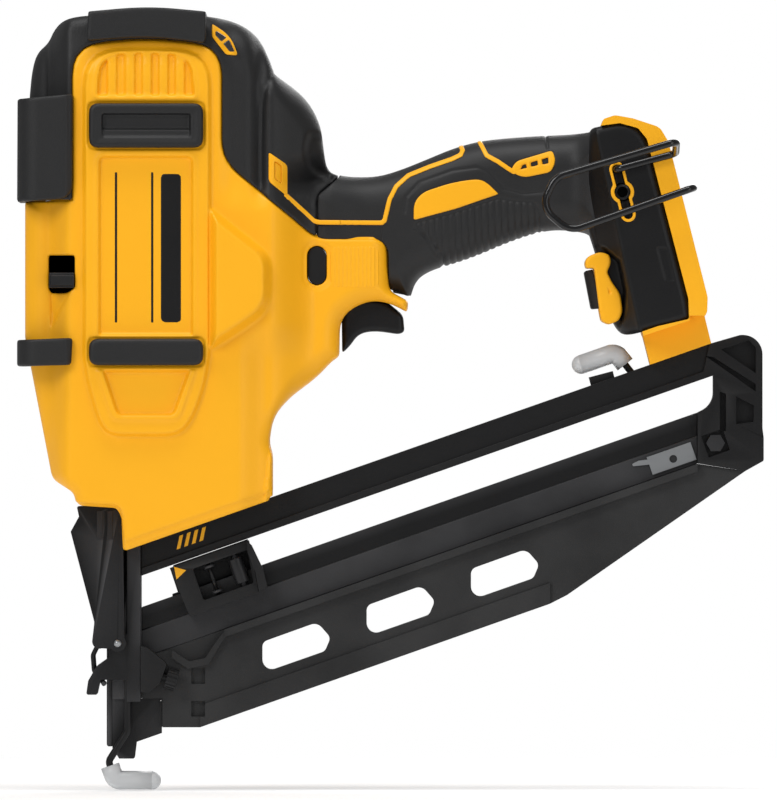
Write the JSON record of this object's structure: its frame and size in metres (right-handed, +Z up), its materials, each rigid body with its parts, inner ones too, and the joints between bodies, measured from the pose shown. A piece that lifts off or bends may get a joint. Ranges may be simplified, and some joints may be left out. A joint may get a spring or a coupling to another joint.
{
  "type": "cordless finish nailer",
  "caption": "Cordless angled finish nailer with a latched nose, sloping nail magazine, contact trip with soft pad, belt hook and open battery dock.",
  "frame": {"origin": "on the drive axis, at the underside of the soft pad on the contact trip, where the nail leaves", "axes": "+Z up along the drive axis, +X from the nose towards the battery dock, +Y to the tool's far side, away from the belt hook"},
  "size_m": [0.3055, 0.0985, 0.3198],
  "materials": {
    "yellow_plastic": "satin moulded plastic",
    "black_plastic": "fine textured plastic",
    "black_rubber": "matte overmoulded rubber",
    "grey_rubber": "soft translucent grey",
    "black_steel": "black oxide, satin",
    "steel": "ground and zinc plated",
    "gloss_black": "gloss black",
    "clear_lens": "moulded lens",
    "copper": "enamelled windings and laminations",
    "alloy": "as cast",
    "wire_cover": "insulated leads"
  },
  "bodies": {
    "shell": {"housing_left": "yellow_plastic", "housing_right": "yellow_plastic", "battery_dock": "yellow_plastic", "selector_bracket": "yellow_plastic", "cover_left": "black_plastic", "cover_right": "black_plastic", "foot_cover_left": "black_plastic", "foot_cover_right": "black_plastic", "magazine_frame": "black_plastic", "magazine_wall_left": "black_plastic", "magazine_wall_right": "black_plastic", "depth_housing": "black_plastic", "trigger_switch": "black_plastic", "control_module": "black_plastic", "terminal_block": "black_plastic", "grip_left": "black_rubber", "grip_right": "black_rubber", "bumper_top": "black_rubber", "bumper_front_upper": "black_rubber", "bumper_front_lower": "black_rubber", "side_pads": "black_rubber", "driver_bumpers": "black_rubber", "nose_guide": "black_steel", "accessory_inserts": "black_steel", "nose_plates": "black_steel", "nose_front_plate": "black_steel", "nail_track": "black_steel", "shell_screws": "black_steel", "rear_bolt": "black_steel", "guide_rods": "steel", "return_springs": "steel", "trip_spring": "steel", "pivot_pins": "steel", "stop_plate": "steel", "motor_bearings": "steel", "belt_hook": "gloss_black", "light_lenses": "clear_lens", "motor_stator": "copper", "solenoid": "copper", "drive_frame": "alloy", "wiring": "wire_cover"},
    "driver": {"driver_carriage": "steel", "driver_blade": "steel"},
    "flywheel": {"flywheel_rotor": "steel"},
    "pinch": {"pinch_arm": "black_steel"},
    "roller": {"pinch_roller": "steel"},
    "plunger": {"solenoid_plunger": "steel"},
    "trigger": {"trigger": "black_plastic"},
    "lock_off": {"trigger_lock_off": "black_plastic"},
    "stall_release": {"stall_release": "black_plastic"},
    "selector": {"mode_selector": "black_plastic"},
    "trip": {"contact_wire": "black_steel", "no_mar_pad": "grey_rubber"},
    "depth_wheel": {"depth_wheel": "black_plastic"},
    "latch": {"latch_lever": "black_steel"},
    "bail": {"latch_bail": "black_steel"},
    "pusher": {"nail_pusher": "black_plastic", "pusher_axles": "black_steel"},
    "tape_reel": {"tape_spring_reel": "black_steel"},
    "spare_pad": {"spare_pad": "grey_rubber"}
  },
  "joints": [
    {"name": "drive_stroke", "type": "slide", "parent": "shell", "child": "driver", "axis": [0, 0, -1], "range_m": [0, 0.074], "stiffness_N_per_m": 150, "springref_m": -0.025, "deforming": ["return_springs"]},
    {"name": "flywheel_spin", "type": "hinge", "parent": "shell", "child": "flywheel", "pos_m": [0.044, 0, 0.215], "axis": [0, 1, 0], "continuous": true},
    {"name": "pinch_swing", "type": "hinge", "parent": "shell", "child": "pinch", "pos_m": [-0.021, 0, 0.196], "axis": [0, 1, 0], "range_deg": [0, 6], "stiffness_Nm_per_rad": 0.6},
    {"name": "roller_spin", "type": "hinge", "parent": "pinch", "child": "roller", "pos_m": [-0.0202, 0, 0.215], "axis": [0, 1, 0], "continuous": true},
    {"name": "plunger_pull", "type": "slide", "parent": "shell", "child": "plunger", "axis": [0, 0, 1], "range_m": [0, 0.0013]},
    {"name": "trigger_pull", "type": "hinge", "parent": "shell", "child": "trigger", "pos_m": [0.0915, 0, 0.2025], "axis": [0, -1, 0], "range_deg": [0, 8], "stiffness_Nm_per_rad": 0.4},
    {"name": "lock_off_push", "type": "slide", "parent": "shell", "child": "lock_off", "axis": [0, -1, 0], "range_m": [0, 0.0045]},
    {"name": "stall_release_slide", "type": "slide", "parent": "shell", "child": "stall_release", "axis": [0, 0, 1], "range_m": [0, 0.006], "stiffness_N_per_m": 120, "springref_m": -0.001},
    {"name": "selector_slide", "type": "slide", "parent": "shell", "child": "selector", "axis": [0, 1, 0], "range_m": [0, 0.0055]},
    {"name": "trip_travel", "type": "slide", "parent": "shell", "child": "trip", "axis": [0, 0, 1], "range_m": [0, 0.011], "stiffness_N_per_m": 300, "springref_m": -0.004, "deforming": ["trip_spring"]},
    {"name": "depth_turn", "type": "hinge", "parent": "shell", "child": "depth_wheel", "pos_m": [0.01, -0.012, 0.0477], "axis": [0.9593, 0, -0.2823], "continuous": true},
    {"name": "latch_swing", "type": "hinge", "parent": "shell", "child": "latch", "pos_m": [-0.0037, 0, 0.0599], "axis": [0, -1, 0], "range_deg": [0, 40]},
    {"name": "bail_swing", "type": "hinge", "parent": "latch", "child": "bail", "pos_m": [-0.0111, 0, 0.0607], "axis": [0, -1, 0], "range_deg": [-40, 0]},
    {"name": "pusher_slide", "type": "slide", "parent": "shell", "child": "pusher", "axis": [0.9438, 0, 0.3305], "range_m": [0, 0.185], "stiffness_N_per_m": 12, "springref_m": -0.25},
    {"name": "reel_spin", "type": "hinge", "parent": "pusher", "child": "tape_reel", "pos_m": [0.0462, -0.00825, 0.08908], "axis": [-0.3305, 0, 0.9438], "continuous": true},
    {"name": "spare_pad_off", "type": "slide", "parent": "shell", "child": "spare_pad", "axis": [-0.6179, 0, 0.7863], "range_m": [0, 0.009]}
  ],
  "couplings": [
    {"joint": "plunger_pull", "follows": "pinch_swing", "m_per_rad": 0.0112},
    {"joint": "bail_swing", "follows": "latch_swing", "ratio": -1},
    {"joint": "reel_spin", "follows": "pusher_slide", "rad_per_m": 181.82}
  ]
}
